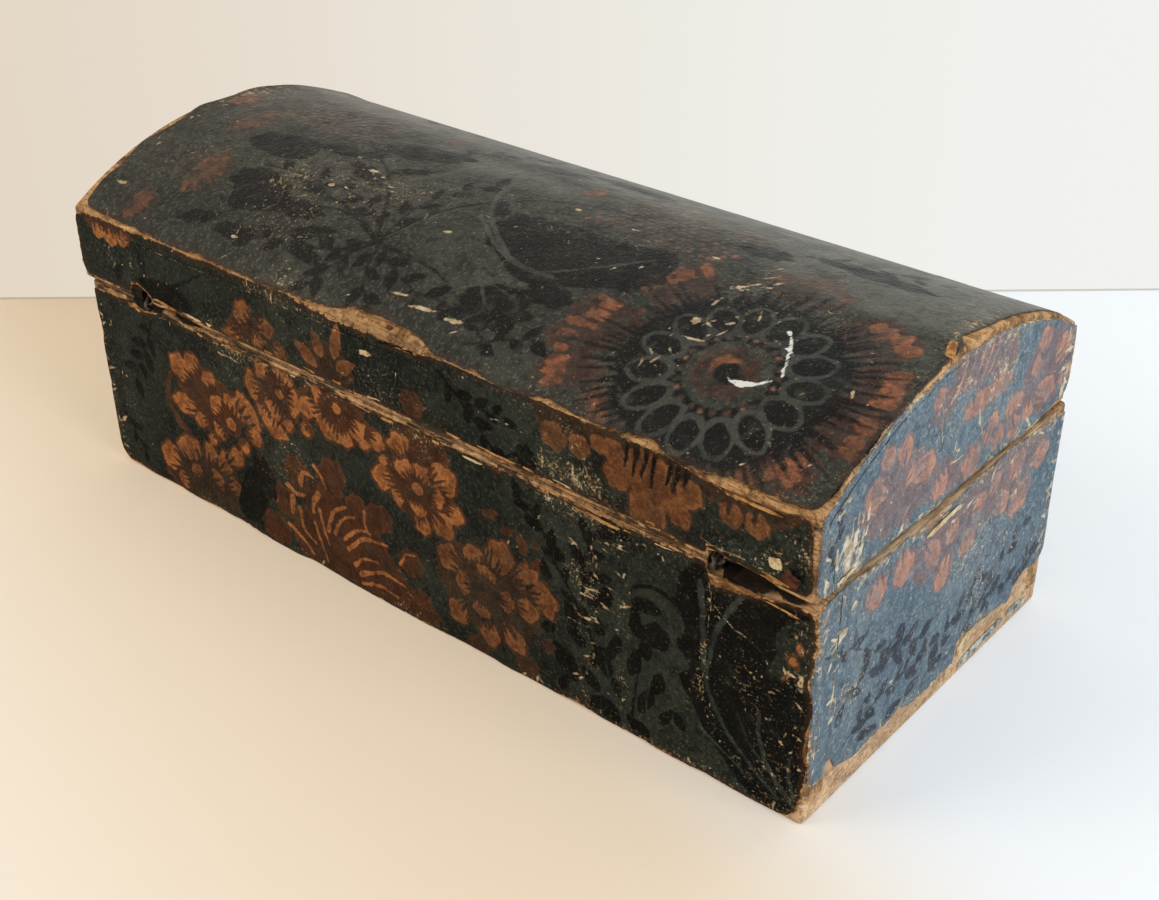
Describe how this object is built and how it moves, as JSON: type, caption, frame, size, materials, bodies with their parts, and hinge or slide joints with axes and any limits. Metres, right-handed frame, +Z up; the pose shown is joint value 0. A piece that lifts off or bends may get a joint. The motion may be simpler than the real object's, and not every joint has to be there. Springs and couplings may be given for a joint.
{
  "type": "dome-top box",
  "caption": "Small papered pine box with a domed lid on wire hinges, for papers and keepsakes.",
  "frame": {"origin": "middle of the base's underside, on the surface that the box stands on", "axes": "+X along the box to its right-hand end as seen from the hinge side, -Y towards the hinge side, +Z up"},
  "size_m": [0.3641, 0.165, 0.1429],
  "materials": {
    "pine_board": "matte",
    "bent_board": "matte",
    "printed_paper": "satin",
    "lining_paper": "matte",
    "nail_iron": "matte",
    "hinge_wire": "matte"
  },
  "bodies": {
    "base": {"bottom_board": "pine_board", "base_back_board": "pine_board", "base_front_board": "pine_board", "base_left_end": "pine_board", "base_right_end": "pine_board", "base_corner_nails": "nail_iron", "bottom_nails": "nail_iron", "base_back_paper": "printed_paper", "base_front_paper": "printed_paper", "base_left_paper": "printed_paper", "base_right_paper": "printed_paper", "base_lining": "lining_paper", "left_lower_hinge_eye": "hinge_wire", "right_lower_hinge_eye": "hinge_wire"},
    "lid": {"lid_back_rail": "pine_board", "lid_front_rail": "pine_board", "lid_left_end": "pine_board", "lid_right_end": "pine_board", "dome_board": "bent_board", "lid_corner_nails": "nail_iron", "dome_tacks": "nail_iron", "lid_back_paper": "printed_paper", "lid_front_paper": "printed_paper", "lid_left_paper": "printed_paper", "lid_right_paper": "printed_paper", "dome_paper": "printed_paper", "lid_lining": "lining_paper", "left_upper_hinge_eye": "hinge_wire", "right_upper_hinge_eye": "hinge_wire"}
  },
  "joints": [
    {"name": "lid_hinge", "type": "hinge", "parent": "base", "child": "lid", "pos_m": [0, -0.0804, 0.08715], "axis": [1, 0, 0], "range_deg": [0, 110]}
  ]
}
